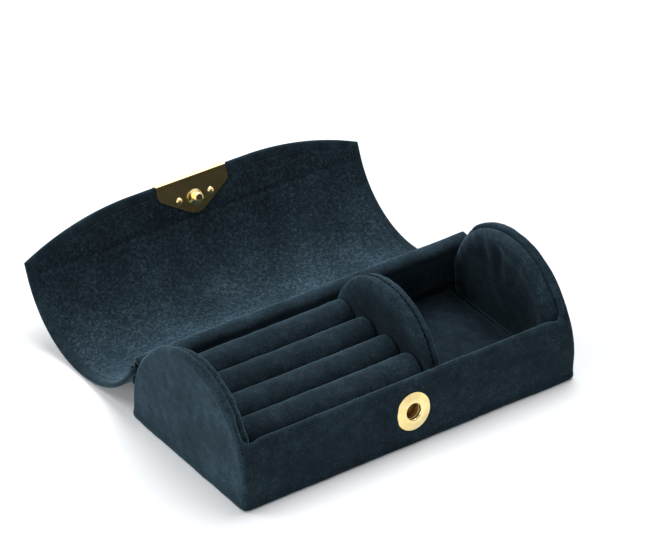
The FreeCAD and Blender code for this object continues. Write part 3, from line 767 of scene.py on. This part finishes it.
def velvet(name, dark, middle, light, sheen, tint, use_painted_light=True, cloud=0.38, tuft=0.30, tuft_scale=330):
    """Short pile: patches, tufts of a middle scale and a fine grain, scaled where asked by painted light and
    shade.
    """
    made, tree, shader = material(name)
    place = node(tree, "ShaderNodeTexCoord").outputs["Object"]
    patches = noise_of(tree, place, PATCH_SCALE, 2.0, 0.55)
    mottle = noise_of(tree, place, tuft_scale, 3.0, 0.6)
    grain = noise_of(tree, place, GRAIN_SCALE, 2.0, 0.7)
    mixed = math_of(tree, "MULTIPLY", patches, cloud)
    mixed = math_of(tree, "ADD", mixed, math_of(tree, "MULTIPLY", mottle, tuft))
    mixed = math_of(tree, "ADD", mixed, math_of(tree, "MULTIPLY", grain, NOISE_SUM - cloud - tuft))
    colour = ramp_of(tree, mixed, ((0.46, dark), (0.63, middle), (0.80, light)))
    if use_painted_light:
        # Painted light and shade: the colour is scaled by a factor stored per vertex.
        light_factor = node(tree, "ShaderNodeAttribute", attribute_name="painted_light").outputs["Fac"]
        scaled = node(tree, "ShaderNodeVectorMath", operation="SCALE")
        tree.links.new(colour, scaled.inputs[0])
        tree.links.new(light_factor, scaled.inputs["Scale"])
        colour = scaled.outputs[0]
    tree.links.new(colour, shader.inputs["Base Color"])
    shader.inputs["Roughness"].default_value = 0.95
    shader.inputs["Specular IOR Level"].default_value = 0.08
    shader.inputs["Sheen Weight"].default_value = sheen
    shader.inputs["Sheen Roughness"].default_value = 0.36
    shader.inputs["Sheen Tint"].default_value = (*tint, 1)
    bump = node(tree, "ShaderNodeBump")
    bump.inputs["Strength"].default_value = 0.45
    bump.inputs["Distance"].default_value = 0.0002
    tree.links.new(math_of(tree, "ADD", grain, math_of(tree, "MULTIPLY", mottle, 0.8)), bump.inputs["Height"])
    tree.links.new(bump.outputs["Normal"], shader.inputs["Normal"])
    return made


def brass(name, colour, deep, rough):
    """Lacquered brass with a faint unevenness and handling marks."""
    made, tree, shader = material(name)
    place = node(tree, "ShaderNodeTexCoord").outputs["Object"]
    cloud = noise_of(tree, place, 260, 3.0, 0.55)
    fine = noise_of(tree, place, 2600, 2.0, 0.6)
    tree.links.new(ramp_of(tree, cloud, ((0.3, deep), (0.65, colour))), shader.inputs["Base Color"])
    shader.inputs["Metallic"].default_value = 1.0
    roughness = node(tree, "ShaderNodeMapRange")
    roughness.inputs["To Min"].default_value = rough * 0.7
    roughness.inputs["To Max"].default_value = rough * 1.5
    tree.links.new(fine, roughness.inputs["Value"])
    tree.links.new(roughness.outputs["Result"], shader.inputs["Roughness"])
    bump = node(tree, "ShaderNodeBump")
    bump.inputs["Strength"].default_value = 0.12
    bump.inputs["Distance"].default_value = 0.0003
    tree.links.new(noise_of(tree, place, 150, 1.0, 0.4), bump.inputs["Height"])
    tree.links.new(bump.outputs["Normal"], shader.inputs["Normal"])
    return made


def board(name, dark, light):
    """Grey board with a fine fibre."""
    made, tree, shader = material(name)
    place = node(tree, "ShaderNodeTexCoord").outputs["Object"]
    fibre = noise_of(tree, place, 900, 4.0, 0.65)
    tree.links.new(ramp_of(tree, fibre, ((0.35, dark), (0.7, light))), shader.inputs["Base Color"])
    shader.inputs["Roughness"].default_value = 0.9
    shader.inputs["Specular IOR Level"].default_value = 0.2
    bump = node(tree, "ShaderNodeBump")
    bump.inputs["Strength"].default_value = 0.2
    bump.inputs["Distance"].default_value = 0.0001
    tree.links.new(fibre, bump.inputs["Height"])
    tree.links.new(bump.outputs["Normal"], shader.inputs["Normal"])
    return made


NAP_DARK = (0.0050, 0.0098, 0.0142)
NAP_MIDDLE = (0.0112, 0.0212, 0.0295)
NAP_LIGHT = (0.0260, 0.0470, 0.0630)
NAP_TINT = (0.34, 0.58, 0.74)
outer_velvet = velvet("outer_velvet", NAP_DARK, NAP_MIDDLE, NAP_LIGHT, 0.5, NAP_TINT)
# Painted shade: a copy of the outer velvet with less sheen, for the pads, dividers and compartment floor.
shaded_inner_velvet = velvet("shaded_inner_velvet", NAP_DARK, NAP_MIDDLE, NAP_LIGHT, 0.36, NAP_TINT)
lining_velvet = velvet("lining_velvet", (0.0030, 0.0070, 0.0105), NAP_MIDDLE, (0.0360, 0.0640, 0.0840),
                       0.5, NAP_TINT, cloud=0.22, tuft=0.50, tuft_scale=720)
# Painted shade: the outer velvet's colours and sheen at 0.8, as on the compartment floor.
shaded_bed_velvet = velvet("shaded_bed_velvet", (0.0040, 0.0078, 0.0114), (0.0090, 0.0170, 0.0236),
                    (0.0208, 0.0376, 0.0504), 0.4, NAP_TINT, use_painted_light=False)
thread = velvet("seam_thread", (0.004, 0.008, 0.011), (0.010, 0.018, 0.024), (0.02, 0.035, 0.045),
                0.1, (0.4, 0.5, 0.6))
felt = velvet("felt", (0.010, 0.018, 0.024), (0.018, 0.032, 0.042), (0.03, 0.05, 0.065),
              0.15, (0.5, 0.6, 0.7))
gold = brass("polished_brass", (0.96, 0.78, 0.38), (0.86, 0.65, 0.27), 0.16)
# Painted shade: the socket's cup is dark, for the shade in its hollow; its roughness is a dull finish.
dull_shaded = brass("dull_shaded_brass", (0.30, 0.17, 0.06), (0.16, 0.08, 0.025), 0.40)
wire = brass("spring_wire", (0.62, 0.58, 0.50), (0.45, 0.42, 0.36), 0.28)
greyboard = board("greyboard", (0.22, 0.19, 0.15), (0.40, 0.36, 0.30))


def paint(made, look):
    """Give a piece one material."""
    made.data.materials.clear()
    made.data.materials.append(look)


def paint_light(made, light_factor):
    """Store a per-vertex brightness factor of painted light and shade, 1 for the plain cloth."""
    painted_light = made.data.attributes.new("painted_light", "FLOAT", "POINT")
    painted_light.data.foreach_set("value", np.full(len(made.data.vertices), light_factor, np.float32))


PLAIN_NAP = 0.95
# Painted shade on the compartment floor.
FLOOR_SHADE = 0.8

for piece in (base_wrap, *rolls, lid_cloth, hinge_roll, back_lining, hinge_cover):
    paint(piece, outer_velvet)
# Painted shade: the pieces inside the compartments take the copy with less sheen.
for piece in (left_pad, right_pad, divider_left, divider_right, floor_soft):
    paint(piece, shaded_inner_velvet)
paint(lid_lining, lining_velvet)
paint(hinge_lining, lining_velvet)
paint(stitches, thread)
paint(base_cloth, felt)
# Painted light: lighter on the left end, along the arches, over the wall's crest and mid-lid.
# Painted light: faces of the wrap turned to the left are lighter.
facing = normals(base_wrap.data)
paint_light(base_wrap, 1.0 + 0.35 * ease(-facing[:, 0], 0.2, 0.9))
paint_light(lid_lining, lining_light)
# Painted light on the hinge lining, brightest near the middle like the lid's lining.
paint_light(hinge_lining, 0.75 + 0.8 * middle_bright(coordinates(hinge_lining.data)[:, 0] / MM))
# Painted shade on the pads and dividers, with a painted highlight along their arches above the lower part.
for piece in (left_pad, right_pad, divider_left, divider_right):
    where = coordinates(piece.data) / MM
    spread = np.hypot(where[:, 1], where[:, 2] - PAD_CENTRE)
    paint_light(piece, 0.60 + 0.58 * ease(spread, 25, 31) * ease(where[:, 2], 8, 20))
paint_light(floor_soft, FLOOR_SHADE)
# Painted light on the back wall's shadowed inner face, lighter low down, and a painted highlight along its
# crest.
where = coordinates(back_lining.data) / MM
crest_highlight = ease(where[:, 2], 24.0, 26.5) * ease(where[:, 1], 29.5, 34.0)
paint_light(back_lining, 1.7 - 0.8 * ease(where[:, 2], 20.0, 25.5) + 0.8 * crest_highlight)
for piece in (*rolls, lid_cloth, hinge_roll, hinge_cover, stitches, base_cloth):
    paint_light(piece, PLAIN_NAP)
for name in ("clasp_plate", "clasp_stud", "clasp_rivet_left", "clasp_rivet_right", "socket_ring"):
    paint(nodes[name], gold)
# The cup's dark colour is painted shade.
paint(nodes["socket_cup"], dull_shaded)
paint(nodes["socket_spring"], wire)
# Painted shade: the ring bed and base board take the velvet darkened to 0.8.
for name in ("ring_bed", "base_board"):
    paint(nodes[name], shaded_bed_velvet)
for name in ("lid_board", "flap_board"):
    paint(nodes[name], greyboard)


# Floor, light and camera.

def seen_directly(tree):
    """1 for rays of the camera, of mirrors and through glass, 0 for those that light the part."""
    path = node(tree, "ShaderNodeLightPath")
    shown = math_of(tree, "MAXIMUM", path.outputs["Is Camera Ray"], path.outputs["Is Glossy Ray"])
    return math_of(tree, "MAXIMUM", shown, path.outputs["Is Transmission Ray"])


FLOOR_HALF = 3000
FLOOR_DROP = -0.02
floor_corners = [(x, y, FLOOR_DROP) for x, y in ((-FLOOR_HALF, -FLOOR_HALF), (FLOOR_HALF, -FLOOR_HALF),
                                                 (FLOOR_HALF, FLOOR_HALF), (-FLOOR_HALF, FLOOR_HALF))]
floor = new_object("floor", floor_corners, [(0, 1, 2, 3)])
made, tree, shader = material("floor")
shader.inputs["Base Color"].default_value = (0.86, 0.88, 0.90, 1)
shader.inputs["Roughness"].default_value = 0.85
shader.inputs["Specular IOR Level"].default_value = 0.1
# The floor whitens with distance, for the camera only.
glow = node(tree, "ShaderNodeEmission")
glow.inputs["Color"].default_value = (1, 1, 1, 1)
away = node(tree, "ShaderNodeVectorMath", operation="LENGTH")
tree.links.new(node(tree, "ShaderNodeTexCoord").outputs["Object"], away.inputs[0])
whiter = node(tree, "ShaderNodeMapRange")
for socket, value in (("From Min", 0.5), ("From Max", 1.8), ("To Min", 0.10), ("To Max", 0.80)):
    whiter.inputs[socket].default_value = value
tree.links.new(away.outputs["Value"], whiter.inputs["Value"])
glow_strength = math_of(tree, "MULTIPLY", seen_directly(tree), whiter.outputs["Result"])
tree.links.new(glow_strength, glow.inputs["Strength"])
both = node(tree, "ShaderNodeAddShader")
output = next(n for n in tree.nodes if n.type == "OUTPUT_MATERIAL")
tree.links.new(shader.outputs[0], both.inputs[0])
tree.links.new(glow.outputs[0], both.inputs[1])
tree.links.new(both.outputs[0], output.inputs["Surface"])
paint(floor, made)

world = bpy.data.worlds.new("studio")
bpy.context.scene.world = world
world.use_nodes = True
tree = world.node_tree
background = next(n for n in tree.nodes if n.type == "BACKGROUND")
background.inputs["Color"].default_value = (1, 1, 1, 1)
AMBIENT = 0.32
tree.links.new(math_of(tree, "MAXIMUM", seen_directly(tree), AMBIENT), background.inputs["Strength"])


def lamp(name, place, target, size, power):
    """A round soft lamp that faces a target."""
    light = bpy.data.lights.new(name, "AREA")
    light.shape = "DISK"
    light.size = size
    light.energy = power
    made = bpy.data.objects.new(name, light)
    bpy.context.scene.collection.objects.link(made)
    made.location = place
    made.rotation_euler = (Vector(target) - Vector(place)).to_track_quat("-Z", "Y").to_euler()


CENTRE = (0, 0.04, 0.02)
lamp("key", (0.35, 0.30, 1.05), CENTRE, 0.95, 12.3)
lamp("back", (-0.55, 0.55, 0.80), CENTRE, 0.6, 4.0)
lamp("left", (-1.0, -0.15, 0.40), CENTRE, 0.5, 2.8)

# A dark card out of sight in front, which the polished plate mirrors.
card_corners = [(-600, -1500, 60), (2600, -1500, 60), (2600, -1500, 1100), (-600, -1500, 1100)]
card = new_object("card", card_corners, [(0, 1, 2, 3)])
card.visible_camera = False
made, tree, shader = material("card")
shader.inputs["Base Color"].default_value = (0.02, 0.02, 0.02, 1)
shader.inputs["Roughness"].default_value = 0.9
paint(card, made)

lens = bpy.data.cameras.new("camera")
lens.sensor_width = 36.0
lens.lens = 244.0
lens.clip_start = 0.05
lens.clip_end = 20.0
camera = bpy.data.objects.new("camera", lens)
bpy.context.scene.collection.objects.link(camera)
RIGHT = Vector((0.80942, -0.58664, 0.02625))
UP = Vector((0.31018, 0.46507, 0.82916))
BACK = Vector((-0.49863, -0.66300, 0.55840))
PLACE = Vector((-0.82673, -1.08379, 0.96919))
camera.matrix_world = Matrix((
    (RIGHT.x, UP.x, BACK.x, PLACE.x),
    (RIGHT.y, UP.y, BACK.y, PLACE.y),
    (RIGHT.z, UP.z, BACK.z, PLACE.z),
    (0, 0, 0, 1)))
bpy.context.scene.camera = camera
bpy.context.scene.view_settings.view_transform = "Standard"
